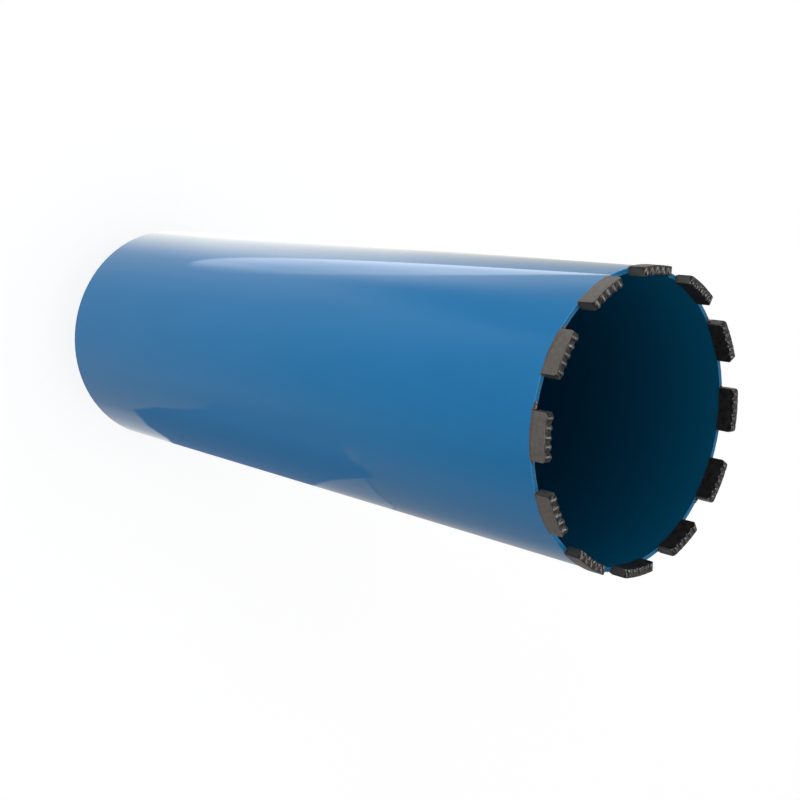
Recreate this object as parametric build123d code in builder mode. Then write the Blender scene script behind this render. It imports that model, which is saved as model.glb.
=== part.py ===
from build123d import *
from math import degrees, sqrt
import os

# Wet diamond core bit: a thin steel barrel with diamond segments brazed round its open
# end (the crown) and a threaded hub welded into its closed end.
# Millimetres. The origin is the centre of the hub's seating face, where the bit meets the
# drill's spindle, and +Z runs along the axis of rotation towards the crown.

# ---- driving dimensions: barrel ----
barrel_od = 160.0
barrel_wall = 2.5
barrel_length = 450.0
barrel_edge_break = 0.4

# ---- driving dimensions: crown ----
segment_count = 12
segment_length = 24.5            # along the rim
segment_side_out = 1.0           # stands outside the barrel: cutting clearance
segment_side_in = 1.5            # stands inside the barrel: core clearance
segment_body_height = 9.4        # foot to the valleys between the ridges
segment_end_chamfer = 1.0
segment_corner_radius = 0.6      # upright corners
ridge_count = 5
ridge_pitch = 4.65
ridge_rise = 0.9                 # highest place of a crest above the valleys
ridge_radius = 2.4               # round section at that place
ridge_inner_drop = 0.2           # the crest rounds over to the inner edge by this much
ridge_peak_share = 0.3           # place of the highest point, from the inner edge

# ---- driving dimensions: brazed joints ----
braze_gap = 0.2                  # filler between rim and segment foot
braze_leg = 0.8                  # fillet down the barrel wall
braze_inset = 0.3                # the filler stays this far inside the segment's sides
braze_nub_radius = 1.0           # drop squeezed out at each end of a joint
braze_nub_height = 0.9

# ---- driving dimensions: closed end ----
plate_thickness = 8.0
plate_clearance = 0.05           # radial, in the barrel
plate_bevel = 1.0
rear_weld_leg = 2.5

# ---- driving dimensions: hub, for a 1 1/4"-7 UNC spindle ----
hub_od = 50.0
hub_length = 40.0                # seating face to the plate
hub_chamfer = 1.0
thread_major_d = 31.75
thread_length = 32.0
pilot_clearance = 0.7            # radial, over the thread's major radius
pilot_depth = 3.0
water_bore_d = 24.0
wrench_size = 41.0               # across the flats
wrench_start = 8.0
wrench_length = 20.0
spigot_od = 40.0
spigot_clearance = 0.05          # radial, in the plate
spigot_stand = 3.0               # past the plate, inside the barrel
hub_weld_leg = 4.0
inner_weld_leg = 2.5
weld_crown_share = 0.58          # middle of a weld's face, as a share of its leg

# ---- worked out ----
barrel_r = barrel_od / 2
barrel_inner_r = barrel_r - barrel_wall
plate_back_z = hub_length
plate_front_z = plate_back_z + plate_thickness
barrel_back_z = plate_back_z - rear_weld_leg
rim_z = barrel_back_z + barrel_length
foot_z = rim_z + braze_gap
segment_outer_r = barrel_r + segment_side_out
segment_inner_r = barrel_inner_r - segment_side_in
segment_width = segment_outer_r - segment_inner_r
segment_pitch = 360.0 / segment_count
plate_r = barrel_inner_r - plate_clearance
plate_hole_r = spigot_od / 2 + spigot_clearance
spigot_end_z = plate_front_z + spigot_stand
thread_end_z = pilot_depth + thread_length
overrun = 1.0                    # how far a cutting tool runs past a face

os.makedirs("parts", exist_ok=True)


# ---- barrel: welded and calibrated steel tube, open at the crown ----
with BuildPart() as barrel:
    with BuildSketch(Plane.XY.offset(barrel_back_z)):
        Circle(barrel_r)
        Circle(barrel_inner_r, mode=Mode.SUBTRACT)
    extrude(amount=barrel_length)
    chamfer(barrel.edges().filter_by(GeomType.CIRCLE).sort_by(SortBy.RADIUS)[-2:], barrel_edge_break)
barrel.part.label = "barrel"
export_step(barrel.part, "parts/barrel.step")


# ---- back plate: turned disc that closes the barrel ----
with BuildPart() as back_plate:
    with BuildSketch(Plane.XY.offset(plate_back_z)):
        Circle(plate_r)
        Circle(plate_hole_r, mode=Mode.SUBTRACT)
    extrude(amount=plate_thickness)
    chamfer(back_plate.faces().sort_by(Axis.Z)[-1].outer_wire().edges(), plate_bevel)
back_plate.part.label = "back_plate"
export_step(back_plate.part, "parts/back_plate.step")


# ---- hub: turned body with a spigot through the plate, wrench flats and spindle bore ----
with BuildPart() as hub:
    with BuildSketch(Plane.XZ):
        with BuildLine():
            Polyline(
                (0, 0),
                (hub_od / 2 - hub_chamfer, 0),
                (hub_od / 2, hub_chamfer),
                (hub_od / 2, plate_back_z),
                (spigot_od / 2, plate_back_z),
                (spigot_od / 2, spigot_end_z),
                (0, spigot_end_z),
                close=True,
            )
        make_face()
    revolve(axis=Axis.Z)
    # hexagon milled between two round collars
    with BuildSketch(Plane.XY.offset(wrench_start)):
        Circle(hub_od / 2 + overrun)
        RegularPolygon(wrench_size / 2, 6, major_radius=False, mode=Mode.SUBTRACT)
    extrude(amount=wrench_length, mode=Mode.SUBTRACT)
    # bore from the seating face: pilot, thread at its major diameter, then the water way
    with BuildSketch(Plane.XZ):
        with BuildLine():
            Polyline(
                (0, -overrun),
                (thread_major_d / 2 + pilot_clearance, -overrun),
                (thread_major_d / 2 + pilot_clearance, pilot_depth),
                (thread_major_d / 2, pilot_depth),
                (thread_major_d / 2, thread_end_z),
                (water_bore_d / 2, thread_end_z),
                (water_bore_d / 2, spigot_end_z + overrun),
                (0, spigot_end_z + overrun),
                close=True,
            )
        make_face()
    revolve(axis=Axis.Z, mode=Mode.SUBTRACT)
hub.part.label = "hub"
export_step(hub.part, "parts/hub.step")


def weld_ring(corner_r, corner_z, leg, outward, upward):
    """Fillet weld run round the axis in a corner, with a slightly convex face."""
    toe_r = corner_r + outward * leg
    toe_z = corner_z + upward * leg
    crown = leg * weld_crown_share
    with BuildPart() as bead:
        with BuildSketch(Plane.XZ):
            with BuildLine():
                Line((corner_r, toe_z), (corner_r, corner_z))
                Line((corner_r, corner_z), (toe_r, corner_z))
                ThreePointArc(
                    (toe_r, corner_z),
                    (corner_r + outward * crown, corner_z + upward * crown),
                    (corner_r, toe_z),
                )
            make_face()
        revolve(axis=Axis.Z)
    return bead.part


# ---- weld runs: plate to barrel, hub to plate outside, spigot to plate inside ----
rear_weld = weld_ring(barrel_inner_r, plate_back_z, rear_weld_leg, -1, -1)
rear_weld.label = "rear_weld"
export_step(rear_weld, "parts/rear_weld.step")

hub_weld = weld_ring(hub_od / 2, plate_back_z, hub_weld_leg, 1, -1)
hub_weld.label = "hub_weld"
export_step(hub_weld, "parts/hub_weld.step")

inner_weld = weld_ring(spigot_od / 2, plate_front_z, inner_weld_leg, 1, 1)
inner_weld.label = "inner_weld"
export_step(inner_weld, "parts/inner_weld.step")


# ---- one diamond segment, on the +X side: curved block with five rounded ridges ----
# Each ridge is a spindle lying across the rim. It is highest a little way in from the
# inner edge, and runs out flush with the valleys at the outer edge.
segment_top_z = foot_z + segment_body_height
ridge_axis_z = segment_top_z + ridge_rise - ridge_radius
ridge_peak_x = segment_inner_r + ridge_peak_share * segment_width
ridge_inner_x = segment_inner_r - segment_width
ridge_inner_fall = ridge_inner_drop / ridge_peak_share

with BuildPart() as segment:
    with BuildSketch(Plane.YZ.offset(ridge_inner_x)):
        with BuildLine():
            half = segment_length / 2
            Polyline(
                (-half, foot_z),
                (half, foot_z),
                (half, segment_top_z - segment_end_chamfer),
                (half - segment_end_chamfer, segment_top_z),
                (-half + segment_end_chamfer, segment_top_z),
                (-half, segment_top_z - segment_end_chamfer),
                close=True,
            )
        make_face()
    extrude(amount=2 * segment_width)
    for index in range(ridge_count):
        ridge_y = (index - (ridge_count - 1) / 2) * ridge_pitch
        ridge_plane = Plane(origin=(0, ridge_y, ridge_axis_z), x_dir=(1, 0, 0), z_dir=(0, -1, 0))
        with BuildSketch(ridge_plane):
            with BuildLine():
                Polyline(
                    (ridge_inner_x, 0),
                    (segment_outer_r, 0),
                    (segment_outer_r, ridge_radius - ridge_rise),
                    (ridge_peak_x, ridge_radius),
                    (ridge_inner_x, ridge_radius - ridge_inner_drop - ridge_inner_fall),
                    close=True,
                )
            make_face()
        revolve(axis=Axis((0, ridge_y, ridge_axis_z), (1, 0, 0)))
    with BuildSketch(Plane.XY.offset(foot_z)) as footprint:
        Circle(segment_outer_r)
        Circle(segment_inner_r, mode=Mode.SUBTRACT)
        with Locations((segment_outer_r, 0)):
            Rectangle(segment_outer_r, segment_length, mode=Mode.INTERSECT)
        fillet(footprint.vertices(), segment_corner_radius)
    extrude(amount=segment_body_height + ridge_rise, mode=Mode.INTERSECT)


# ---- one brazed joint, on the +X side: filler saddled over the rim under a segment ----
# It wets the underside of the segment's overhang on both sides of the wall, and a drop of
# it stands on the rim against each end of the segment.
mid_wall_r = barrel_r - barrel_wall / 2
braze_angle = degrees(segment_length / 2 / mid_wall_r)
nub_y = segment_length / 2 + braze_nub_radius / 2
nub_x = sqrt(mid_wall_r**2 - nub_y**2)

with BuildPart() as braze:
    with BuildSketch(Plane.XZ.rotated((0, 0, -braze_angle))):
        with BuildLine():
            Polyline(
                (segment_inner_r + braze_inset, foot_z),
                (segment_outer_r - braze_inset, foot_z),
                (barrel_r, rim_z - braze_leg),
                (barrel_r, rim_z - barrel_edge_break),
                (barrel_r - barrel_edge_break, rim_z),
                (barrel_inner_r, rim_z),
                (barrel_inner_r, rim_z - braze_leg),
                close=True,
            )
        make_face()
    revolve(axis=Axis.Z, revolution_arc=2 * braze_angle)
    with Locations((nub_x, nub_y, rim_z), (nub_x, -nub_y, rim_z)):
        Cone(
            braze_nub_radius,
            braze_nub_radius / 2,
            braze_nub_height,
            align=(Align.CENTER, Align.CENTER, Align.MIN),
        )
    add(segment.part, mode=Mode.SUBTRACT)


# ---- the crown: every segment and its joint, evenly spaced round the rim ----
for number in range(segment_count):
    turn = (0, 0, number * segment_pitch)

    with BuildPart() as placed_segment:
        add(segment.part, rotation=turn)
    placed_segment.part.label = f"segment_{number + 1:02d}"
    export_step(placed_segment.part, f"parts/segment_{number + 1:02d}.step")

    with BuildPart() as placed_braze:
        add(braze.part, rotation=turn)
    placed_braze.part.label = f"braze_{number + 1:02d}"
    export_step(placed_braze.part, f"parts/braze_{number + 1:02d}.step")
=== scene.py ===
"""Diamond core bit: a blue painted steel barrel with twelve diamond segments brazed round
its open end, and a steel hub welded into its closed end. Metres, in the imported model's frame:
the hub stands on z = 0 and the crown points up."""

import math

import bpy
import numpy as np
from mathutils import Matrix, Vector


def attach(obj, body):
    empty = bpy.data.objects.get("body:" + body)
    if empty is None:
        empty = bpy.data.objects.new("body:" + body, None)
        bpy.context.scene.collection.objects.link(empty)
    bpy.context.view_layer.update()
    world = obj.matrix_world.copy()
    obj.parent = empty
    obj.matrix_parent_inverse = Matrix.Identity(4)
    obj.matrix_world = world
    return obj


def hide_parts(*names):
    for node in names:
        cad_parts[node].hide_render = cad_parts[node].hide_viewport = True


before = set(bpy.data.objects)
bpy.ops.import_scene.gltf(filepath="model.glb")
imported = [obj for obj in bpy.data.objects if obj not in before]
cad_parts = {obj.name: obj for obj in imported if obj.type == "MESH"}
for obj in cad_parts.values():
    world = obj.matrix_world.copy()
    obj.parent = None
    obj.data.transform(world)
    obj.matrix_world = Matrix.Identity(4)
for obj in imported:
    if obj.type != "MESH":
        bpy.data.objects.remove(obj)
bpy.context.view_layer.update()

MM = 0.001
ROOT = "root"


# ---------------------------------------------------------------- measures, in millimetres
BARREL_R = 80.0
WALL = 2.5
BARREL_IN_R = BARREL_R - WALL
RIM_Z = 487.5
FOOT_Z = 487.7

SEGMENTS = 12
SEG_OUT_R = 81.0
SEG_IN_R = 76.0
SEG_LENGTH = 24.5
SEG_BODY_TOP = 497.1
SEG_CREST_TOP = 498.0
SEG_CHAMFER = 1.0
CRESTS = 5
CREST_PITCH = 4.65

THREAD_MAJOR_R = 15.875
THREAD_MINOR_R = 13.93
THREAD_PITCH = 25.4 / 7
THREAD_START_Z = 3.4
THREAD_END_Z = 34.8

# corner radius, corner height, leg, which way the leg runs out, which way it runs up
REAR_WELD = (77.5, 40.0, 2.5, -1, -1)
HUB_WELD = (25.0, 40.0, 4.0, 1, -1)
INNER_WELD = (20.0, 48.0, 2.5, 1, 1)


# ---------------------------------------------------------------- camera
CAM_PLACE = (-106.20, -522.87, 877.38)
CAM_FORWARD = (0.13191, 0.66969, -0.73083)
CAM_UP = (-0.99063, 0.06268, -0.12136)
CAM_LENS = 56.390
CAM_SHIFT_Y = -0.035
SENSOR_WIDTH = 36.0


def make_camera():
    data = bpy.data.cameras.new("camera")
    data.lens = CAM_LENS
    data.sensor_width = SENSOR_WIDTH
    data.shift_y = CAM_SHIFT_Y
    data.clip_start = 0.01
    data.clip_end = 50.0
    camera = bpy.data.objects.new("camera", data)
    bpy.context.scene.collection.objects.link(camera)
    forward = Vector(CAM_FORWARD).normalized()
    right = forward.cross(Vector(CAM_UP)).normalized()
    up = right.cross(forward)
    turn = Matrix((right, up, -forward)).transposed().to_4x4()
    camera.matrix_world = Matrix.Translation(Vector(CAM_PLACE) * MM) @ turn
    bpy.context.scene.camera = camera


# ---------------------------------------------------------------- node helpers
CURVE_TOP = 4.0                   # a colour ramp holds 0 to 1, so a curve is scaled by this


class Nodes:
    """Short calls for building one node tree."""

    def __init__(self, tree):
        self.tree = tree
        self.tree.nodes.clear()

    def new(self, kind, **settings):
        node = self.tree.nodes.new(kind)
        for key, value in settings.items():
            setattr(node, key, value)
        return node

    def put(self, socket, value):
        if isinstance(value, bpy.types.NodeSocket):
            self.tree.links.new(value, socket)
        else:
            socket.default_value = value

    def math(self, operation, a, b=0.0, c=None):
        node = self.new("ShaderNodeMath", operation=operation)
        self.put(node.inputs[0], a)
        self.put(node.inputs[1], b)
        if c is not None:
            self.put(node.inputs[2], c)
        return node.outputs[0]

    def plus(self, a, b):
        return self.math("ADD", a, b)

    def minus(self, a, b):
        return self.math("SUBTRACT", a, b)

    def times(self, a, b):
        return self.math("MULTIPLY", a, b)

    def most(self, a, b):
        return self.math("MAXIMUM", a, b)

    def split(self, vector):
        """x, y and z of a vector."""
        node = self.new("ShaderNodeSeparateXYZ")
        self.put(node.inputs[0], vector)
        return node.outputs

    def step(self, value, low, high, out_low=0.0, out_high=1.0):
        """Smooth step of value from low to high."""
        node = self.new("ShaderNodeMapRange", interpolation_type="SMOOTHSTEP")
        self.put(node.inputs["Value"], value)
        node.inputs["From Min"].default_value = low
        node.inputs["From Max"].default_value = high
        node.inputs["To Min"].default_value = out_low
        node.inputs["To Max"].default_value = out_high
        return node.outputs["Result"]

    def mix(self, factor, a, b):
        node = self.new("ShaderNodeMix", data_type="RGBA")
        self.put(node.inputs["Factor"], factor)
        self.put(node.inputs["A"], a)
        self.put(node.inputs["B"], b)
        return node.outputs["Result"]

    def blend(self, factor, a, b):
        node = self.new("ShaderNodeMix", data_type="FLOAT")
        self.put(node.inputs["Factor"], factor)
        self.put(node.inputs["A"], a)
        self.put(node.inputs["B"], b)
        return node.outputs["Result"]

    def curve(self, value, points, kind="EASE"):
        """Piecewise value from (place, height) points; heights are from 0 to CURVE_TOP."""
        low, high = min(points)[0], max(points)[0]
        where = self.new("ShaderNodeMapRange")
        self.put(where.inputs["Value"], value)
        where.inputs["From Min"].default_value = low
        where.inputs["From Max"].default_value = high
        ramp = self.new("ShaderNodeValToRGB")
        ramp.color_ramp.interpolation = kind
        elements = ramp.color_ramp.elements
        while len(elements) < len(points):
            elements.new(0.5)
        for element, (place, height) in zip(elements, sorted(points)):
            element.position = (place - low) / (high - low)
            element.color = (height / CURVE_TOP, height / CURVE_TOP, height / CURVE_TOP, 1)
        self.put(ramp.inputs["Fac"], where.outputs["Result"])
        return self.times(ramp.outputs["Color"], CURVE_TOP)

    def noise(self, coords, scale, detail=3.0, rough=0.5):
        node = self.new("ShaderNodeTexNoise")
        self.put(node.inputs["Vector"], coords)
        node.inputs["Scale"].default_value = scale
        node.inputs["Detail"].default_value = detail
        node.inputs["Roughness"].default_value = rough
        return node.outputs["Fac"]

    def bump(self, height, distance, strength=1.0, normal=None):
        node = self.new("ShaderNodeBump")
        self.put(node.inputs["Height"], height)
        node.inputs["Distance"].default_value = distance
        node.inputs["Strength"].default_value = strength
        if normal is not None:
            self.put(node.inputs["Normal"], normal)
        return node.outputs["Normal"]


def new_material(name):
    material = bpy.data.materials.new(name)
    material.use_nodes = True
    n = Nodes(material.node_tree)
    shader = n.new("ShaderNodeBsdfPrincipled")
    out = n.new("ShaderNodeOutputMaterial")
    n.put(out.inputs["Surface"], shader.outputs["BSDF"])
    where = n.new("ShaderNodeTexCoord").outputs["Object"]
    return material, n, shader, where


# ---------------------------------------------------------------- tones, in linear RGB
# A pair is the two ends of a mottle.
PAINT = (0.013, 0.152, 0.350, 1), (0.018, 0.172, 0.395, 1)
# darker and bluer in the bore
DARKER_BORE_TONE = (0.001, 0.104, 0.210, 1), (0.003, 0.119, 0.244, 1)
# the rim face's tone is painted lighter: painted light that the rim catches
RIM_PAINT_AND_LIGHT = (0.010, 0.20, 0.45, 1), (0.014, 0.24, 0.54, 1)
# a painted highlight along the rim's two edges
RIM_EDGE_HIGHLIGHT = (0.085, 0.33, 0.60, 1)
WELD_PAINT = (0.011, 0.128, 0.300, 1), (0.018, 0.168, 0.385, 1)
# painted shade between a weld's ripples
PAINTED_WELD_CREASE_SHADE = (0.005, 0.070, 0.170, 1)
# a painted highlight on a weld's ripples
PAINTED_WELD_RIPPLE_HIGHLIGHT = (0.060, 0.230, 0.440, 1)

TURNED_STEEL = (0.29, 0.285, 0.28, 1), (0.47, 0.465, 0.455, 1)
OIL_STAIN = (0.155, 0.135, 0.115, 1)
# darker inside the thread's bore
DARKER_THREAD_BORE = (0.085, 0.078, 0.070, 1)
RUST = (0.150, 0.062, 0.026, 1)
# lighter on sharp edges: partly wear, partly painted highlight
HUB_EDGE_WEAR_AND_HIGHLIGHT = (0.68, 0.67, 0.66, 1)

SCALED_STEEL = (0.120, 0.114, 0.108, 1), (0.245, 0.235, 0.225, 1)
STRAW = (0.230, 0.150, 0.070, 1)
BLUED = (0.075, 0.090, 0.150, 1)
# painted shade in a weld's hollows
BARE_WELD_HOLLOW_SHADE = (0.035, 0.030, 0.027, 1)

FILLER = (0.082, 0.064, 0.052, 1), (0.150, 0.134, 0.120, 1)
BURNT_FLUX = (0.028, 0.024, 0.022, 1)
# a painted highlight on the filler's lumps
FILLER_LUMP_HIGHLIGHT = (0.30, 0.27, 0.235, 1)

GROUND = (0.098, 0.088, 0.080, 1), (0.138, 0.125, 0.114, 1)
SCRATCHED = (0.20, 0.185, 0.17, 1)
GROUND_CRYSTAL = (0.26, 0.235, 0.17, 1)
PIT = (0.03, 0.025, 0.022, 1)
# lighter on the ground face's sharp edges: partly wear, partly painted highlight
GROUND_EDGE_WEAR_AND_HIGHLIGHT = (0.30, 0.28, 0.26, 1)
HEAT_TINT = (0.105, 0.055, 0.030, 1)
FIRED = (0.014, 0.013, 0.012, 1), (0.040, 0.037, 0.034, 1)
# painted shade, browner, down in the grooves
GROOVE_SHADE = (0.022, 0.015, 0.012, 1)
# painted shade on the segments' tops
TOP_SHADE = (0.010, 0.010, 0.010, 1)
FIRED_CRYSTAL = (0.15, 0.14, 0.11, 1)
# crests and sharp edges lighter: partly wear, partly painted highlight
RUBBED_AND_HIGHLIGHT = (0.20, 0.195, 0.185, 1)
# end faces painted paler: painted light that they catch
END_FACE_LIGHT = (0.090, 0.094, 0.092, 1)

# ---------------------------------------------------------------- places of finishes and of painted light and shade, in metres
# Where a finish, painted light or painted shade starts and where it is whole: r is from the
# axis, z from the hub's seat.
BORE_R = (0.07757, 0.07753)
BORE_Z = (0.0468, 0.0472)
RIM_Z_BAND = (0.48705, 0.48720)
RIM_OUTER_EDGE_R = (0.07960, 0.07985)
RIM_INNER_EDGE_R = (0.07785, 0.07765)
THREAD_BORE_R = (0.0172, 0.0165)
STRAW_Z = (0.0492, 0.0500)
BLUED_Z = (0.0502, 0.0509)
GROUND_R = (0.08072, 0.08084)
# where the painted edge highlight fades next to the ground face
EDGE_WEAR_AND_HIGHLIGHT_R = (0.0806, 0.0801)
DULL_R = (0.0801, 0.0805)
CREST_Z = (0.4974, 0.4978)
# where the painted groove shade starts and stops
GROOVE_TOP_Z = (0.49745, 0.4971)
GROOVE_FOOT_Z = (0.4958, 0.4966)
# where the painted top shade starts and is whole
TOP_Z = (0.4960, 0.4968)
HEAT_Z = (0.4904, 0.4890)
SEG_HALF_ANGLE = 8.8              # from a segment's middle to its end faces, in degrees

PAINT_IOR = 1.5
PAINT_ROUGHNESS = (0.018, 0.035)
BORE_ROUGHNESS = 0.22
LATHE_LINES = 5200.0              # noise cells a metre, across the turned lines
SCRATCH_R = 0.08
SCRATCH_LINES = (60.0, 2600.0)    # noise cells a metre, along the rim and up
GRAINS = 1900.0                   # grains a metre


# ---------------------------------------------------------------- materials
def places(n, where):
    """x, y and z of a point, and its distance from the axis."""
    x, y, z = n.split(where)
    return x, y, z, n.math("SQRT", n.plus(n.times(x, x), n.times(y, y)))


def pointiness(n):
    return n.new("ShaderNodeNewGeometry").outputs["Pointiness"]


def paint_material():
    """Glossy blue enamel: a clean coat outside, darker, bluer and duller in the bore, lighter on
    the rim face as painted light, and with a painted highlight along the rim's two edges."""
    material, n, shader, where = new_material("blue_paint")
    _, _, z, r = places(n, where)
    cloud = n.noise(where, 9.0, 4.0, 0.55)
    fine = n.noise(where, 900.0, 2.0, 0.6)
    bore = n.times(n.step(r, *BORE_R), n.step(z, *BORE_Z))
    rim = n.step(z, *RIM_Z_BAND)
    # darker and bluer in the bore
    tone = n.mix(bore, n.mix(cloud, *PAINT), n.mix(cloud, *DARKER_BORE_TONE))
    # the rim face painted lighter: painted light that it catches
    tone = n.mix(rim, tone, n.mix(fine, *RIM_PAINT_AND_LIGHT))
    # a painted highlight along the rim's outer and inner edges
    edges = n.most(n.step(r, *RIM_OUTER_EDGE_R), n.step(r, *RIM_INNER_EDGE_R))
    rim_highlight_mask = n.times(n.times(edges, rim), n.step(fine, 0.35, 0.6, 0.4, 0.9))
    n.put(shader.inputs["Base Color"], n.mix(rim_highlight_mask, tone, RIM_EDGE_HIGHLIGHT))
    smooth = n.step(cloud, 0.3, 0.7, *PAINT_ROUGHNESS)
    n.put(shader.inputs["Roughness"], n.blend(bore, smooth, BORE_ROUGHNESS))
    shader.inputs["IOR"].default_value = PAINT_IOR
    peel = n.bump(n.noise(where, 330.0, 1.0, 0.4), 0.00002, 0.16)
    n.put(shader.inputs["Normal"], n.bump(fine, 0.000003, 0.2, peel))
    return material


def painted_weld_material():
    """The same enamel over a weld: dull, with a painted highlight on the ripples and painted
    shade between them.
    """
    material, n, shader, where = new_material("painted_weld")
    edge = pointiness(n)
    cloud = n.noise(where, 40.0, 4.0, 0.6)
    fine = n.noise(where, 1400.0, 3.0, 0.6)
    tone = n.mix(cloud, *WELD_PAINT)
    # painted shade in the hollows between the ripples
    tone = n.mix(n.times(n.step(edge, 0.50, 0.44), 0.6), tone, PAINTED_WELD_CREASE_SHADE)
    # a painted highlight on the ripples
    tone = n.mix(n.times(n.step(edge, 0.52, 0.58), 0.4), tone, PAINTED_WELD_RIPPLE_HIGHLIGHT)
    n.put(shader.inputs["Base Color"], tone)
    n.put(shader.inputs["Roughness"], n.step(fine, 0.3, 0.7, 0.14, 0.30))
    shader.inputs["IOR"].default_value = PAINT_IOR
    n.put(shader.inputs["Normal"], n.bump(fine, 0.00003, 0.4, n.bump(cloud, 0.0002, 0.3)))
    return material


def hub_material():
    """Turned steel: fine lines run round the axis, with oil stains and small rust specks."""
    material, n, shader, where = new_material("hub_steel")
    x, y, z, r = places(n, where)
    lathe = n.new("ShaderNodeCombineXYZ")
    n.put(lathe.inputs[0], n.times(r, LATHE_LINES))
    n.put(lathe.inputs[1], n.times(z, LATHE_LINES))
    n.put(lathe.inputs[2], n.times(n.math("ARCTAN2", y, x), 0.5))
    lines = n.noise(lathe.outputs[0], 1.0, 2.0, 0.6)
    cloud = n.noise(where, 55.0, 4.0, 0.6)
    fine = n.noise(where, 1500.0, 3.0, 0.6)
    rust = n.times(n.step(fine, 0.64, 0.72), n.step(cloud, 0.40, 0.62))
    tone = n.mix(n.step(lines, 0.3, 0.7), *TURNED_STEEL)
    tone = n.mix(n.times(n.step(cloud, 0.5, 0.72), 0.55), tone, OIL_STAIN)
    # darker inside the thread's bore
    tone = n.mix(n.times(n.step(r, *THREAD_BORE_R), 0.55), tone, DARKER_THREAD_BORE)
    tone = n.mix(n.times(rust, 0.8), tone, RUST)
    # lighter on sharp edges: partly wear, partly painted highlight
    tone = n.mix(n.times(n.step(pointiness(n), 0.52, 0.57), 0.5), tone, HUB_EDGE_WEAR_AND_HIGHLIGHT)
    n.put(shader.inputs["Base Color"], tone)
    n.put(shader.inputs["Metallic"], n.minus(0.95, n.times(rust, 0.7)))
    dull = n.plus(n.step(cloud, 0.35, 0.7, 0.26, 0.44), n.times(rust, 0.3))
    n.put(shader.inputs["Roughness"], dull)
    n.put(shader.inputs["Normal"], n.bump(fine, 0.00002, 0.25, n.bump(lines, 0.00004, 0.5)))
    return material


def bare_weld_material():
    """Weld left bare inside the barrel: scaled grey steel with straw and blue heat colours."""
    material, n, shader, where = new_material("bare_weld")
    _, _, z = n.split(where)
    cloud = n.noise(where, 160.0, 4.0, 0.6)
    fine = n.noise(where, 1700.0, 3.0, 0.6)
    uneven_z = n.plus(z, n.times(cloud, 0.0012))
    tone = n.mix(n.step(cloud, 0.3, 0.7), *SCALED_STEEL)
    tone = n.mix(n.times(n.step(uneven_z, *STRAW_Z), 0.45), tone, STRAW)
    tone = n.mix(n.times(n.step(uneven_z, *BLUED_Z), 0.40), tone, BLUED)
    # painted shade in the hollows between the ripples
    tone = n.mix(n.times(n.step(pointiness(n), 0.49, 0.43), 0.6), tone, BARE_WELD_HOLLOW_SHADE)
    n.put(shader.inputs["Base Color"], tone)
    shader.inputs["Metallic"].default_value = 0.85
    n.put(shader.inputs["Roughness"], n.step(fine, 0.3, 0.7, 0.34, 0.56))
    n.put(shader.inputs["Normal"], n.bump(fine, 0.00004, 0.5, n.bump(cloud, 0.0002, 0.4)))
    return material


def filler_material():
    """Brazing alloy as it froze: brown grey, mottled with burnt flux, with a painted highlight
    on its lumps.
    """
    material, n, shader, where = new_material("braze_filler")
    cloud = n.noise(where, 520.0, 4.0, 0.6)
    fine = n.noise(where, 2400.0, 3.0, 0.6)
    flux = n.step(n.noise(where, 900.0, 2.0, 0.5), 0.58, 0.68)
    tone = n.mix(n.step(cloud, 0.3, 0.7), *FILLER)
    tone = n.mix(n.times(flux, 0.65), tone, BURNT_FLUX)
    # a painted highlight on the filler's lumps
    tone = n.mix(n.times(n.step(pointiness(n), 0.52, 0.60), 0.45), tone, FILLER_LUMP_HIGHLIGHT)
    n.put(shader.inputs["Base Color"], tone)
    n.put(shader.inputs["Metallic"], n.minus(0.55, n.times(flux, 0.40)))
    n.put(shader.inputs["Roughness"], n.step(fine, 0.3, 0.7, 0.44, 0.64))
    n.put(shader.inputs["Normal"], n.bump(fine, 0.00005, 0.4, n.bump(cloud, 0.0002, 0.4)))
    return material


def grit(n, where):
    """Masks of the crystals that show, and of the pits that lost ones left."""
    grains = n.new("ShaderNodeTexVoronoi")
    n.put(grains.inputs["Vector"], where)
    grains.inputs["Scale"].default_value = GRAINS
    pick = n.new("ShaderNodeSeparateColor")
    n.put(pick.inputs[0], grains.outputs["Color"])
    centre = n.step(grains.outputs["Distance"], 0.42, 0.25)
    crystal = n.times(n.step(pick.outputs[0], 0.80, 0.84), centre)
    pit = n.times(n.step(pick.outputs[1], 0.82, 0.86), centre)
    return crystal, pit


def ground_tone(n, x, y, z, cloud, crystal, pit):
    """The ground outer face, with scratches along the rim."""
    around, upward = SCRATCH_LINES
    lines = n.new("ShaderNodeCombineXYZ")
    rim_place = n.times(n.math("ARCTAN2", y, x), SCRATCH_R)
    n.put(lines.inputs[0], n.times(rim_place, around))
    n.put(lines.inputs[1], n.times(z, upward))
    scratch = n.noise(lines.outputs[0], 1.0, 3.0, 0.6)
    tone = n.mix(n.step(cloud, 0.35, 0.65), *GROUND)
    tone = n.mix(n.times(scratch, 0.35), tone, SCRATCHED)
    tone = n.mix(n.times(crystal, 0.5), tone, GROUND_CRYSTAL)
    return n.mix(n.times(pit, 0.6), tone, PIT)


def rubbed_and_highlight_share(n, z, r, fine, sharp):
    """Crests and sharp edges lighter, partly wear and partly painted highlight; the edges less
    so next to the ground face.
    """
    crest = n.times(n.step(z, *CREST_Z), 0.22)
    edge_wear_and_highlight = n.times(sharp, n.step(r, *EDGE_WEAR_AND_HIGHLIGHT_R, 0.10, 0.55))
    return n.times(n.most(crest, edge_wear_and_highlight), n.step(fine, 0.3, 0.6, 0.35, 1.0))


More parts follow.
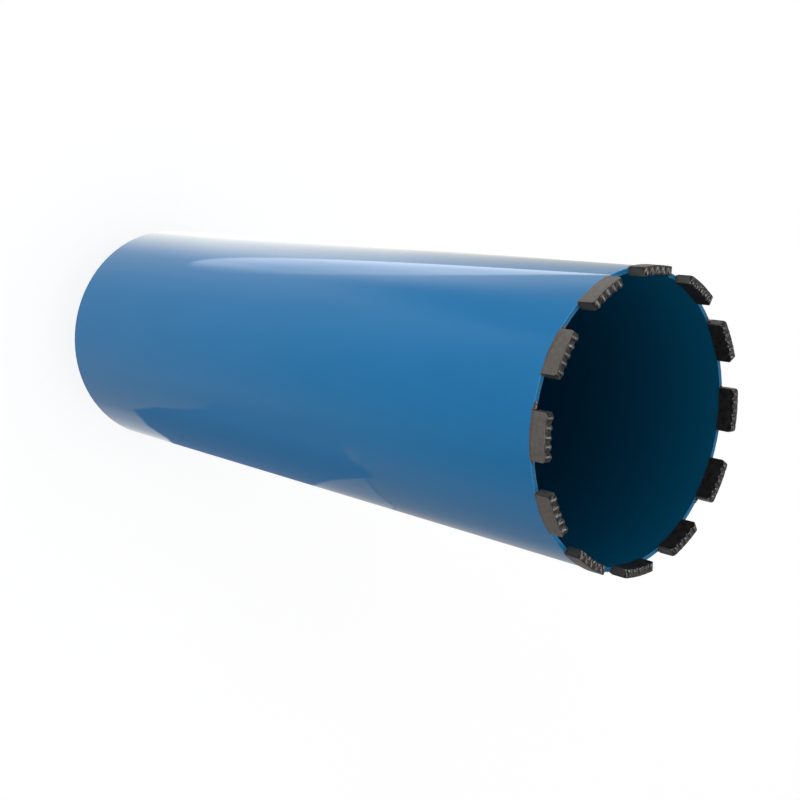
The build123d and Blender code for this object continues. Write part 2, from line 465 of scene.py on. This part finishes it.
def fired_tone(n, x, y, z, cloud, crystal, rubbed_and_highlight):
    """The fired faces: near black. Painted shade makes them browner down in the grooves and
    darker on the tops, painted light makes the end faces paler, and the crests and edges are
    lighter, partly worn and partly a painted highlight.
    """
    tone = n.mix(n.step(cloud, 0.3, 0.7), *FIRED)
    # painted shade down in the grooves
    groove_shade = n.times(n.step(z, *GROOVE_TOP_Z), n.step(z, *GROOVE_FOOT_Z))
    tone = n.mix(n.times(groove_shade, 0.85), tone, GROOVE_SHADE)
    # painted shade on the tops
    tone = n.mix(n.times(n.step(z, *TOP_Z), 0.6), tone, TOP_SHADE)
    tone = n.mix(n.times(crystal, 0.6), tone, FIRED_CRYSTAL)
    # crests and edges lighter: partly wear, partly painted highlight
    tone = n.mix(rubbed_and_highlight, tone, RUBBED_AND_HIGHLIGHT)
    # the angle from the middle of the nearest segment
    half_pitch = 180.0 / SEGMENTS
    angle = n.math("DEGREES", n.math("ARCTAN2", y, x))
    off = n.math("ABSOLUTE", n.math("WRAP", angle, half_pitch, -half_pitch))
    # end faces painted paler: painted light that they catch
    end_face_light = n.step(off, SEG_HALF_ANGLE - 0.15, SEG_HALF_ANGLE)
    return n.mix(n.times(end_face_light, 0.6), tone, END_FACE_LIGHT)


def segment_material():
    """Sintered metal full of grit: dark as fired, with its outer face ground bare."""
    material, n, shader, where = new_material("diamond_matrix")
    x, y, z, r = places(n, where)
    cloud = n.noise(where, 420.0, 4.0, 0.6)
    fine = n.noise(where, 2600.0, 3.0, 0.65)
    crystal, pit = grit(n, where)
    ground = n.step(r, *GROUND_R)
    sharp = n.step(pointiness(n), 0.515, 0.56)
    rubbed_and_highlight = rubbed_and_highlight_share(n, z, r, fine, sharp)

    fired = fired_tone(n, x, y, z, cloud, crystal, rubbed_and_highlight)
    tone = n.mix(ground, fired, ground_tone(n, x, y, z, cloud, crystal, pit))
    # heat tint from brazing at the foot
    heat = n.step(n.plus(z, n.times(cloud, 0.0016)), *HEAT_Z)
    tone = n.mix(n.times(n.times(heat, ground), 0.5), tone, HEAT_TINT)
    # lighter on the ground face's sharp edges: partly wear, partly painted highlight
    tone = n.mix(n.times(n.times(sharp, ground), 0.25), tone, GROUND_EDGE_WEAR_AND_HIGHLIGHT)
    n.put(shader.inputs["Base Color"], tone)
    n.put(shader.inputs["Metallic"], n.most(n.times(rubbed_and_highlight, 0.8), 0.3))
    rough = n.blend(n.step(r, *DULL_R), n.step(fine, 0.3, 0.7, 0.32, 0.50), 0.62)
    n.put(shader.inputs["Roughness"], n.blend(ground, rough, 0.5))
    height = n.plus(n.times(fine, 0.5), n.minus(crystal, pit))
    coarse = n.bump(cloud, 0.0003, 0.5)
    n.put(shader.inputs["Normal"], n.bump(height, 0.00008, 0.6, coarse))
    return material


# ---------------------------------------------------------------- shapes from distance fields
def net_points(field):
    """Which cells the surface passes through, and its mean crossing point in each."""
    inside = field < 0
    cells = tuple(n - 1 for n in field.shape)
    total = np.zeros(cells + (3,))
    count = np.zeros(cells)

    def corner(values, at):
        return values[tuple(slice(o, o + n) for o, n in zip(at, cells))]

    for start in [(a, b, c) for a in (0, 1) for b in (0, 1) for c in (0, 1)]:
        for axis in range(3):
            if start[axis]:
                continue
            end = tuple(o + (i == axis) for i, o in enumerate(start))
            f0, f1 = corner(field, start), corner(field, end)
            crossed = corner(inside, start) != corner(inside, end)
            share = np.where(crossed, f0 / np.where(crossed, f0 - f1, 1.0), 0.0)
            for i in range(3):
                total[..., i] += np.where(crossed, start[i] + (share if i == axis else 0.0), 0.0)
            count += crossed
    active = count > 0
    return active, np.argwhere(active) + total[active] / count[active][:, None]


def net_quads(inside, number, axis):
    """A quad across each grid edge along one axis that the surface crosses."""
    cells = number.shape
    b, c = (axis + 1) % 3, (axis + 2) % 3
    lower = [slice(None)] * 3
    upper = [slice(None)] * 3
    lower[axis], upper[axis] = slice(0, -1), slice(1, None)
    crossed = np.argwhere(inside[tuple(lower)] != inside[tuple(upper)])
    keep = (crossed[:, b] > 0) & (crossed[:, c] > 0)
    keep &= (crossed[:, b] < cells[b]) & (crossed[:, c] < cells[c])
    crossed = crossed[keep]
    ring = []
    for db, dc in ((1, 1), (0, 1), (0, 0), (1, 0)):
        cell = crossed.copy()
        cell[:, b] -= db
        cell[:, c] -= dc
        ring.append(number[tuple(cell.T)])
    ring = np.stack(ring, axis=1)
    solid_first = inside[tuple(crossed.T)]
    ring[~solid_first] = ring[~solid_first][:, ::-1]
    return ring


def surface_net(field, origin, step):
    """Quad mesh round the region where the sampled field is negative."""
    active, points = net_points(field)
    number = np.full(active.shape, -1)
    number[active] = np.arange(active.sum())
    quads = [net_quads(field < 0, number, axis) for axis in range(3)]
    return np.array(origin) + step * points, np.concatenate(quads)


def grid(low, high, step):
    axes = [np.arange(a, b + step, step) for a, b in zip(low, high)]
    return np.meshgrid(*axes, indexing="ij")


def lumps(rng, x, y, z, size):
    """Smooth random field between -1 and 1 whose lumps are about size across."""
    points = [v / size for v in (x, y, z)]
    cell = [np.floor(v).astype(int) for v in points]
    low = [v.min() for v in cell]
    lattice = rng.uniform(-1, 1, [v.max() - o + 2 for v, o in zip(cell, low)])
    part = [v - c for v, c in zip(points, cell)]
    part = [v * v * (3 - 2 * v) for v in part]
    value = 0.0
    for a in (0, 1):
        for b in (0, 1):
            for c in (0, 1):
                weight = 1.0
                for on, share in zip((a, b, c), part):
                    weight = weight * (share if on else 1 - share)
                at = tuple(v - o + on for v, o, on in zip(cell, low, (a, b, c)))
                value = value + weight * lattice[at]
    return value


def both(a, b, round_off):
    """Distance to the overlap of two regions, with a rounded edge."""
    pa, pb = np.maximum(a + round_off, 0), np.maximum(b + round_off, 0)
    return np.minimum(np.maximum(a, b), -round_off) + np.hypot(pa, pb)


def either(a, b, blend):
    """Distance to the union of two regions, with a filled corner."""
    share = np.clip(0.5 + 0.5 * (b - a) / blend, 0, 1)
    return b * (1 - share) + a * share - blend * share * (1 - share)


def make_piece(name, verts, faces, material, replaced=None, turn=0.0):
    """Mesh object from millimetre points, turned about the bit's axis."""
    c, s = math.cos(turn), math.sin(turn)
    points = np.asarray(verts, dtype=float)
    x, y = points[:, 0] * c - points[:, 1] * s, points[:, 0] * s + points[:, 1] * c
    points = np.stack([x, y, points[:, 2]], axis=1) * MM
    mesh = bpy.data.meshes.new(name)
    mesh.from_pydata(points.tolist(), [], np.asarray(faces).tolist())
    mesh.validate()
    mesh.polygons.foreach_set("use_smooth", [True] * len(mesh.polygons))
    mesh.materials.append(material)
    piece = bpy.data.objects.new(name, mesh)
    bpy.context.scene.collection.objects.link(piece)
    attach(piece, ROOT)
    if replaced:
        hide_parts(replaced)
    return piece


# ---------------------------------------------------------------- diamond segments
NET_STEP = 0.25
SEG_SEED = 40
EDGE_ROUND = 0.3
CHAMFER_ROUND = 0.15
VALLEY_DIP = 0.45                 # valleys run this much deeper at the inner edge

CREST_R = 1.95
CREST_R_SPREAD = (0.95, 1.03)
CREST_RISE = (0.72, 0.88, 0.0)    # above the valleys: at the inner edge, at its peak, outside
CREST_RISE_SPREAD = (0.88, 1.0)
CREST_EDGE_DROP = 0.15            # rounding over at the inner edge
CREST_SHOULDER = 0.12             # place where that rounding ends
CREST_PEAK = 0.3                  # place of the peak, from the inner edge
CREST_STRAY = 0.12                # a crest is off its place by up to this
CREST_BLEND = 0.35
FAR = 9.0                         # a distance outside every crest

SKIN = 0.05                       # room kept for the rough skin inside the true size
SKIN_SINK = 0.02
COARSE_SKIN = (0.045, 2.1)        # height and size of its lumps
FINE_SKIN = (0.03, 0.55)
SKIN_FADE = (0.5, 0.1)            # it fades between these depths under the ground outer face
SKIN_SHARE = (1.0, 0.25)          # from whole to what is left on that face

CHIPS = 7
CHIP_REACH = 10                   # from a segment's middle
CHIP_Z = (0.0, 0.5)               # above the valleys
CHIP_R = (0.25, 0.55)


def crest_field(rng, x, y, z, share):
    """The rounded ridges across a segment, each a little different."""
    inner, peak, outer = CREST_RISE
    stops = [0, CREST_SHOULDER, CREST_PEAK, 1]
    rise = np.interp(share, stops, [inner - CREST_EDGE_DROP, inner, peak, outer])
    crests = np.full_like(x, FAR)
    for i in range(CRESTS):
        place = (i - (CRESTS - 1) / 2) * CREST_PITCH + rng.uniform(-CREST_STRAY, CREST_STRAY)
        size = CREST_R * rng.uniform(*CREST_R_SPREAD)
        centre = SEG_BODY_TOP - SKIN + rise * rng.uniform(*CREST_RISE_SPREAD) - size
        crests = np.minimum(crests, np.hypot(y - place, z - centre) - size)
    return crests


def chipped(rng, solid, r, y, z):
    """Small chips along the top edges."""
    for _ in range(CHIPS):
        edge_r = rng.choice([SEG_OUT_R, SEG_IN_R])
        at = rng.uniform(-CHIP_REACH, CHIP_REACH)
        height = SEG_BODY_TOP + rng.uniform(*CHIP_Z)
        bite = rng.uniform(*CHIP_R)
        gap = np.sqrt((r - edge_r) ** 2 + (y - at) ** 2 + (z - height) ** 2) - bite
        solid = np.maximum(solid, -gap)
    return solid


def segment_field(rng, x, y, z):
    r = np.hypot(x, y)
    middle, half = (SEG_OUT_R + SEG_IN_R) / 2, (SEG_OUT_R - SEG_IN_R) / 2 - SKIN
    across = np.abs(r - middle) - half
    along = np.abs(y) - (SEG_LENGTH / 2 - SKIN)
    share = np.clip((r - SEG_IN_R) / (SEG_OUT_R - SEG_IN_R), 0, 1)
    body_top = SEG_BODY_TOP - SKIN - VALLEY_DIP * (1 - share) ** 2
    body = both(z - body_top, FOOT_Z - z, EDGE_ROUND)
    slope = (np.abs(y) - SEG_LENGTH / 2 + z - SEG_BODY_TOP + SEG_CHAMFER) / math.sqrt(2)
    body = both(body, slope + SKIN, CHAMFER_ROUND)
    solid = either(body, crest_field(rng, x, y, z, share), CREST_BLEND)
    solid = both(both(solid, across, EDGE_ROUND), along, EDGE_ROUND)

    # the skin is rough as sintered, except on the ground outer face
    rough = np.interp(r, [SEG_OUT_R - depth for depth in SKIN_FADE], SKIN_SHARE)
    coarse = COARSE_SKIN[0] * lumps(rng, x, y, z, COARSE_SKIN[1])
    fine = FINE_SKIN[0] * lumps(rng, x, y, z, FINE_SKIN[1])
    solid = solid + rough * (coarse + fine + SKIN_SINK)
    return chipped(rng, solid, r, y, z)


def make_segments(material):
    # the net reaches past the shape on every side, most of all inwards, where its ends lie
    low = (SEG_IN_R - 1.4, -SEG_LENGTH / 2 - 0.5, FOOT_Z - 0.5)
    high = (SEG_OUT_R + 0.5, SEG_LENGTH / 2 + 0.5, SEG_CREST_TOP + 0.4)
    x, y, z = grid(low, high, NET_STEP)
    for i in range(SEGMENTS):
        rng = np.random.default_rng(SEG_SEED + i)
        verts, faces = surface_net(segment_field(rng, x, y, z), low, NET_STEP)
        node = f"segment_{i + 1:02d}"
        make_piece(f"diamond_{node}", verts, faces, material, node,
                   math.tau * i / SEGMENTS)


# ---------------------------------------------------------------- brazed joints
BRAZE_SEED = 80
MIDDLE_R = BARREL_R - WALL / 2
FILL_HALF = 0.22                  # half the height of the filler on the rim
FILL_OVER = 0.1                   # how far it passes the wall on both sides
BEAD_Z = RIM_Z - FILL_HALF
BEAD_R = 0.42
BEAD_OUT = 0.02
BEAD_SPREAD = 0.16
BEAD_LUMPS = 2.3
JOINT_BLEND = 0.25
DROP_R = (0.4, 0.75)              # of the plain drops at a joint's ends
DROP_RUN = 0.4
SPILL_STRAY = (-0.3, 0.6)         # off the middle of the wall, outward
SPILL_FLAT = 1.15
SPILL_BLEND = 0.35
FILLER_FOOT = 1.0                 # the filler ends this far below the rim
FILLER_SKIN = (0.05, 0.6)         # height and size of its lumps
# lumps beyond the ends of a joint: joint number, end, run along the rim, size
SPILLS = {3: [(-1, 0.6, 0.9), (-1, 2.0, 0.7), (-1, 3.4, 0.5), (1, 0.4, 0.6)],
          5: [(1, 0.5, 0.95), (1, 2.0, 0.8), (1, 3.5, 0.6), (-1, 0.4, 0.6)],
          9: [(-1, 0.7, 1.2), (-1, 2.1, 1.0), (-1, 3.3, 0.75), (1, 0.4, 0.5)],
          10: [(-1, 0.6, 1.25), (-1, 1.9, 1.1), (-1, 3.3, 0.9), (1, 0.4, 0.9), (1, 1.7, 0.5)]}


def braze_field(rng, number, x, y, z):
    r = np.hypot(x, y)
    end = np.degrees(np.arctan2(np.abs(y), x)) * math.radians(1.0) * MIDDLE_R - SEG_LENGTH / 2
    size = BEAD_R + BEAD_SPREAD * lumps(rng, x * 0, y, z * 0, BEAD_LUMPS)
    outer = np.hypot(r - BARREL_R - BEAD_OUT, z - BEAD_Z) - size
    inner = np.hypot(r - BARREL_IN_R + BEAD_OUT, z - BEAD_Z) - size
    fill_sides = np.abs(r - MIDDLE_R) - WALL / 2 - FILL_OVER
    fill = both(fill_sides, np.abs(z - RIM_Z) - FILL_HALF, FILL_OVER)
    solid = either(np.minimum(outer, inner), fill, JOINT_BLEND)
    solid = both(solid, end, JOINT_BLEND)
    # both drops are drawn for every joint, so the draws stay in step
    drops = [(side, DROP_RUN, rng.uniform(*DROP_R)) for side in (-1, 1)]
    for side, run, bulk in SPILLS.get(number, drops):
        angle = side * (SEG_LENGTH / 2 + run) / MIDDLE_R
        away = rng.uniform(*SPILL_STRAY)
        cx = (MIDDLE_R + away) * math.cos(angle)
        cy = (MIDDLE_R + away) * math.sin(angle)
        ball = np.sqrt((x - cx) ** 2 + (y - cy) ** 2 + (SPILL_FLAT * (z - RIM_Z)) ** 2) - bulk
        solid = either(solid, ball, SPILL_BLEND)
    solid = np.maximum(solid, RIM_Z - FILLER_FOOT - z)
    return solid + FILLER_SKIN[0] * lumps(rng, x, y, z, FILLER_SKIN[1])


def make_brazes(material):
    low = (BARREL_IN_R - 3.6, -SEG_LENGTH / 2 - 4.6, RIM_Z - 1.4)
    high = (BARREL_R + 1.4, SEG_LENGTH / 2 + 4.6, RIM_Z + 1.4)
    x, y, z = grid(low, high, NET_STEP)
    for i in range(SEGMENTS):
        rng = np.random.default_rng(BRAZE_SEED + i)
        verts, faces = surface_net(braze_field(rng, i + 1, x, y, z), low, NET_STEP)
        node = f"braze_{i + 1:02d}"
        make_piece(f"filler_{node}", verts, faces, material, node,
                   math.tau * i / SEGMENTS)


# ---------------------------------------------------------------- welds and thread
STEPS_PER_RIPPLE = 10
WELD_ACROSS = 16
WELD_WIDTH = (0.95, 0.04)         # share of the leg, and how far that wobbles
WELD_SWELL = (0.04, 0.10)         # share of the leg: everywhere, and more on a ripple
SWELL_SLANT = 0.7                 # part of a swell that goes out, and the same up
RIPPLE_LAG = 1.9                  # radians that a ripple's middle trails its ends by
RIPPLE_SHARP = 0.7
THREAD_STEPS = 96                 # a turn
THREAD_FLANK = math.radians(30)
THREAD_HALF_BASE = 7 / 16 * THREAD_PITCH
THREAD_SINK = 0.03                # the thread's foot is this far inside the wall
THREAD_FADE = 2.0                 # it is whole after one turn divided by this
THREAD_LEAST = 0.03               # share of its depth left at the very ends


def make_weld(node, corner, ripples, material, seed):
    """Fillet weld with the curved ripples of its molten pool, run once round."""
    corner_r, corner_z, leg, outward, upward = corner
    rng = np.random.default_rng(seed)
    around, across = ripples * STEPS_PER_RIPPLE, WELD_ACROSS
    wobble = np.cumsum(rng.uniform(-1, 1, around))
    wobble -= np.linspace(0, wobble[-1], around)
    wobble /= np.abs(wobble).max()
    verts = []
    for i in range(around):
        turn = math.tau * i / around
        width = leg * (WELD_WIDTH[0] + WELD_WIDTH[1] * wobble[i])
        for j in range(across + 1):
            share = j / across
            bow = math.sin(math.pi * share)
            phase = ripples * turn - RIPPLE_LAG * bow
            ripple = abs(math.sin(phase / 2)) ** RIPPLE_SHARP
            out = width * (1 - share)
            up = width * share
            swell = (WELD_SWELL[0] + WELD_SWELL[1] * ripple) * leg * bow
            r = corner_r + outward * (out + swell * SWELL_SLANT)
            z = corner_z + upward * (up + swell * SWELL_SLANT)
            verts.append((r * math.cos(turn), r * math.sin(turn), z))
        verts.append((corner_r * math.cos(turn), corner_r * math.sin(turn), corner_z))
    ring = across + 2
    faces = []
    for i in range(around):
        here, there = i * ring, ((i + 1) % around) * ring
        for j in range(ring):
            k = (j + 1) % ring
            quad = (here + j, there + j, there + k, here + k)
            faces.append(quad if outward * upward < 0 else quad[::-1])
    make_piece(f"bead_{node}", verts, faces, material, node)


def make_thread(material):
    """Right-hand 60 degree thread on the wall of the hub's bore, faded out at both ends."""
    turns = (THREAD_END_Z - THREAD_START_Z - THREAD_PITCH) / THREAD_PITCH
    steps = int(turns * THREAD_STEPS)
    depth = THREAD_MAJOR_R - THREAD_MINOR_R
    verts = []
    for i in range(steps + 1):
        share = i / steps
        turn = math.tau * turns * share
        z = THREAD_START_Z + THREAD_PITCH / 2 + THREAD_PITCH * turns * share
        fade = min(1.0, min(share, 1 - share) * turns * THREAD_FADE)
        tip = THREAD_MAJOR_R - depth * max(fade, THREAD_LEAST)
        slim = THREAD_HALF_BASE - (THREAD_MAJOR_R - tip) * math.tan(THREAD_FLANK)
        foot = THREAD_MAJOR_R + THREAD_SINK
        section = (foot, -THREAD_HALF_BASE), (tip, -slim), (tip, slim), (foot, THREAD_HALF_BASE)
        for r, dz in section:
            verts.append((r * math.cos(turn), r * math.sin(turn), z + dz))
    faces = [(0, 1, 2, 3), tuple(4 * steps + k for k in (3, 2, 1, 0))]
    for i in range(steps):
        for j in range(4):
            k = (j + 1) % 4
            faces.append((4 * i + j, 4 * i + 4 + j, 4 * i + 4 + k, 4 * i + k))
    piece = make_piece("spindle_thread", verts, faces, material)
    piece.data.polygons.foreach_set("use_smooth", [False] * len(piece.data.polygons))


# ---------------------------------------------------------------- floor and lamp
FLOOR_HALF = 6.0
FLOOR_TONE = (0.88, 0.88, 0.88, 1), (0.92, 0.92, 0.92, 1)
FLOOR_SHARE = 0.42                # share of the floor that is plain lit paint to the camera
FLOOR_GLOW = 0.775                # tops the lit floor up to white
WHITE = (1, 1, 1, 1)

KEY_TURN = math.radians(48.0)
KEY_POWER = 13.5
KEY_AIM = (0, 0, 0.20)
KEY_DISTANCE = 1.5
KEY_SIZE = (1.0, 0.8)


def make_floor():
    """Pale floor that keeps the object's shadow, topped up to white for the camera. Gloss
    doesn't see it, because the studio stands in its place there."""
    mesh = bpy.data.meshes.new("floor")
    h = FLOOR_HALF
    mesh.from_pydata([(-h, -h, 0), (h, -h, 0), (h, h, 0), (-h, h, 0)], [], [(0, 1, 2, 3)])
    floor = bpy.data.objects.new("floor", mesh)
    bpy.context.scene.collection.objects.link(floor)
    material = bpy.data.materials.new("floor")
    material.use_nodes = True
    n = Nodes(material.node_tree)
    where = n.new("ShaderNodeTexCoord").outputs["Object"]
    grain = n.noise(where, 3.0, 3.0)
    diffuse = n.new("ShaderNodeBsdfDiffuse")
    n.put(diffuse.inputs["Color"], n.mix(grain, *FLOOR_TONE))
    glow = n.new("ShaderNodeEmission")
    glow.inputs["Color"].default_value = WHITE
    glow.inputs["Strength"].default_value = FLOOR_GLOW / (1 - FLOOR_SHARE)
    path = n.new("ShaderNodeLightPath")
    share = n.times(path.outputs["Is Camera Ray"], 1 - FLOOR_SHARE)
    lit_and_glowing = n.new("ShaderNodeMixShader")
    n.put(lit_and_glowing.inputs[0], share)
    n.put(lit_and_glowing.inputs[1], diffuse.outputs[0])
    n.put(lit_and_glowing.inputs[2], glow.outputs[0])
    out = n.new("ShaderNodeOutputMaterial")
    n.put(out.inputs["Surface"], lit_and_glowing.outputs[0])
    mesh.materials.append(material)
    floor.visible_glossy = False


def make_key():
    """One soft lamp beside the object, seen by neither the camera nor gloss."""
    data = bpy.data.lights.new("key", "AREA")
    data.shape = "RECTANGLE"
    data.size, data.size_y = KEY_SIZE
    data.energy = KEY_POWER
    lamp = bpy.data.objects.new("key", data)
    bpy.context.scene.collection.objects.link(lamp)
    side = Vector((-math.sin(KEY_TURN), -math.cos(KEY_TURN), 0))
    place = Vector(KEY_AIM) + side * KEY_DISTANCE
    lamp.location = place
    lamp.rotation_euler = (Vector(KEY_AIM) - place).to_track_quat("-Z", "Y").to_euler()
    lamp.visible_camera = False
    lamp.visible_glossy = False


# ---------------------------------------------------------------- the studio that gloss sees
# Set from the light that the photo's reflections need. Angles are in degrees, and
# studio_angles says what swing, lift and depth are.
AMBIENT = 0.84
AMBIENT_TOP = 0.50
AMBIENT_FALL = (0.15, 0.75)       # z of the directions between which it falls
STUDIO_COS, STUDIO_SIN = 0.99889, 0.0471     # of the studio's turn about Z, 2.7 degrees
LAMP_WAY = (-0.07, 0.23, 0.97)
LAMP_CONE = (0.950, 0.985)
LAMP_LEVEL = 18.0
RING_TINT = (1.0, 1.45, 2.3, 1)
BACK_TINT = (1.0, 0.94, 0.81, 1)
BOX_TINT = (0.97, 0.99, 1.04, 1)

SIDE_LEVEL = [                    # by swing: dark behind the camera, lighter towards the back
    (-42, 0.12), (-46, 0.16), (-50, 0.22), (-55, 0.34), (-60, 0.43), (-67, 0.47),
    (-75, 0.60), (-84, 0.74), (-92, 0.84),
]
CEILING_LEVEL = [                 # by depth: brightest straight down the barrel
    (0.60, 0.72), (0.66, 0.95), (0.69, 1.12), (0.72, 1.30), (0.745, 1.60), (0.77, 1.78),
    (0.80, 1.98), (0.83, 2.02), (0.85, 1.82), (0.86, 1.82),
]
BOX_LEVEL = [                     # by swing
    (-136, 1.7), (-128, 2.4), (-121, 2.55), (-115, 2.65), (-105, 2.25), (-96, 1.8),
    (-88, 1.2), (-80, 0.7),
]
BOX_FOOT = (32.75, 33.15)         # lift of the box's lower edge
BOX_TOP = 40.5                    # lift of its upper edge at the middle
BOX_MIDDLE = -108.0               # swing of its middle
BOX_BOW = 0.0118                  # how fast the upper edge falls away from the middle
WALL_LEVEL = [(-120, 0.90), (-110, 0.76), (-100, 0.64), (-90, 0.46), (-75, 0.44)]     # by swing
WALL_EDGE = [                     # depth by swing, as are the next two
    (-125, 0.830), (-115, 0.834), (-105, 0.843), (-97, 0.847), (-90, 0.851), (-82, 0.843),
    (-75, 0.828), (-70, 0.820),
]
TABLE_EDGE = [
    (-130, 0.762), (-120, 0.758), (-110, 0.752), (-100, 0.742), (-92, 0.732), (-85, 0.735),
    (-78, 0.747), (-70, 0.752),
]
BORDER_EDGE = [
    (-125, 0.7165), (-118, 0.723), (-111, 0.728), (-100, 0.734), (-87, 0.739), (-73, 0.743),
    (-70, 0.744),
]


def studio_angles(n, direction):
    """y and z of a direction, and its lift, swing and depth.

    lift is the angle towards the soft box side (-X), swing the angle from the open front
    of the studio (-Y) down and round to the back (+Y), depth how far down it points."""
    x, y, z = n.split(direction)
    lift_sin = n.plus(n.times(x, -STUDIO_COS), n.times(y, STUDIO_SIN))
    lift = n.math("DEGREES", n.math("ARCSINE", lift_sin))
    front = n.plus(n.times(x, -STUDIO_SIN), n.times(y, -STUDIO_COS))
    swing = n.math("DEGREES", n.math("ARCTAN2", z, front))
    return y, z, lift, swing, n.times(z, -1.0)


def upper_studio(n, lift, swing, depth, side):
    """On the soft box side: a dim side, a lit ceiling over the back half, and a long soft box
    with a straight lower edge and a bowed, softer upper one. Gives the level and the box."""
    side_top = n.times(side, n.step(lift, 36.5, 45.0, 1.0, 0.3))
    ceiling = n.curve(depth, CEILING_LEVEL, "LINEAR")
    ceiling = n.times(ceiling, n.step(lift, 41.0, 50.0, 1.0, 0.5))
    round_to_back = n.blend(
        n.step(lift, 33.0, 40.0), n.step(swing, -91.0, -115.0), n.step(swing, -87.0, -111.0)
    )
    level = n.blend(round_to_back, side_top, ceiling)

    off = n.plus(swing, -BOX_MIDDLE)
    bow = n.minus(BOX_TOP, n.times(n.times(off, off), BOX_BOW))
    box = n.times(n.step(lift, *BOX_FOOT), n.step(n.minus(bow, lift), -0.6, 0.6))
    box = n.times(box, n.step(swing, -85.0, -95.0))
    box_level = n.times(n.curve(swing, BOX_LEVEL), n.step(lift, 37.0, 33.2, 0.92, 1.20))
    return n.blend(box, level, box_level), box


def lower_studio(n, lift, swing, depth, side):
    """Away from the soft box, going down: the table, a dark line, its paler border, a dark ring
    and the lit wall. Gives the level and the ring."""
    far = n.times(side, n.step(lift, -18.0, -31.0, 1.0, 0.6))
    past_wall = n.step(n.minus(depth, n.curve(swing, WALL_EDGE, "LINEAR")), -0.001, 0.001)
    past_table = n.step(n.minus(depth, n.curve(swing, TABLE_EDGE, "LINEAR")), -0.0015, 0.0015)
    from_border = n.minus(depth, n.curve(swing, BORDER_EDGE, "LINEAR"))
    line = n.step(n.math("ABSOLUTE", from_border), 0.0014, 0.0006)
    line = n.times(line, n.step(swing, -72.0, -84.0))

    table = n.step(swing, -118.0, -134.0, 0.33, 0.45)
    table = n.plus(table, n.times(n.step(from_border, -0.0008, 0.0008), 0.10))
    table = n.minus(table, n.times(line, 0.12))
    ring_level = n.step(swing, -72.0, -92.0, 0.19, 0.14)
    near = n.blend(past_wall, ring_level, n.curve(swing, WALL_LEVEL))
    ring_start = n.step(swing, -62.0, -76.0)
    ring = n.times(n.times(past_table, n.minus(1.0, past_wall)), ring_start)
    return n.blend(ring_start, far, n.blend(past_table, table, near)), ring


def overhead(n, direction, y, z):
    """Above the horizon: a pale backdrop, a dimmer front and a small lamp."""
    pale = n.times(n.step(y, -0.9, 0.3, 0.45, 0.85), n.step(z, -0.05, 0.35, 1.0, 0.40))
    lamp = n.new("ShaderNodeVectorMath", operation="DOT_PRODUCT")
    n.put(lamp.inputs[0], direction)
    lamp.inputs[1].default_value = LAMP_WAY
    return n.plus(pale, n.step(lamp.outputs["Value"], *LAMP_CONE, 0.0, LAMP_LEVEL))


def studio(n, direction):
    """Level and tint of the studio, by direction."""
    y, z, lift, swing, depth = studio_angles(n, direction)
    side = n.curve(swing, SIDE_LEVEL)
    upper, box = upper_studio(n, lift, swing, depth, side)
    lower, ring = lower_studio(n, lift, swing, depth, side)
    box_side = n.step(lift, -8.0, 4.0)
    below = n.blend(box_side, lower, upper)
    level = n.blend(n.step(z, -0.50, -0.25), below, overhead(n, direction, y, z))

    down = n.step(z, -0.25, -0.50)
    cool = n.times(ring, n.step(lift, 4.0, -8.0))
    warm = n.times(n.step(swing, -96.0, -114.0), n.step(lift, 33.5, 32.0))
    warm = n.times(warm, box_side)
    tint = n.mix(n.times(cool, down), WHITE, RING_TINT)
    tint = n.mix(n.times(warm, down), tint, BACK_TINT)
    tint = n.mix(n.times(box, down), tint, BOX_TINT)
    return level, tint


def make_world():
    """White to the camera, plain soft light to the object, the studio to gloss."""
    world = bpy.data.worlds.new("studio")
    bpy.context.scene.world = world
    world.use_nodes = True
    n = Nodes(world.node_tree)
    direction = n.new("ShaderNodeTexCoord").outputs["Generated"]
    _, _, up = n.split(direction)
    soft = n.step(up, *AMBIENT_FALL, AMBIENT, AMBIENT_TOP)
    level, tint = studio(n, direction)
    path = n.new("ShaderNodeLightPath")
    gloss = path.outputs["Is Glossy Ray"]
    seen = n.most(path.outputs["Is Camera Ray"], path.outputs["Is Transmission Ray"])
    back = n.new("ShaderNodeBackground")
    n.put(back.inputs["Color"], n.mix(gloss, WHITE, tint))
    n.put(back.inputs["Strength"], n.blend(seen, n.blend(gloss, soft, level), 1.0))
    out = n.new("ShaderNodeOutputWorld")
    n.put(out.inputs["Surface"], back.outputs[0])


# ---------------------------------------------------------------- build
def wear(node, material):
    """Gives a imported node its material."""
    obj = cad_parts[node]
    obj.data.materials.clear()
    obj.data.materials.append(material)


make_camera()
make_floor()
make_key()
make_world()
bpy.context.scene.view_settings.view_transform = "Standard"

paint = paint_material()
segment_metal = segment_material()
filler = filler_material()
hub_steel = hub_material()
bare_weld = bare_weld_material()
painted_weld = painted_weld_material()
wear("barrel", paint)
wear("back_plate", paint)
wear("hub", hub_steel)
make_segments(segment_metal)
make_brazes(filler)
make_weld("rear_weld", REAR_WELD, 150, painted_weld, 1)
make_weld("hub_weld", HUB_WELD, 56, painted_weld, 2)
make_weld("inner_weld", INNER_WELD, 60, bare_weld, 3)
make_thread(hub_steel)
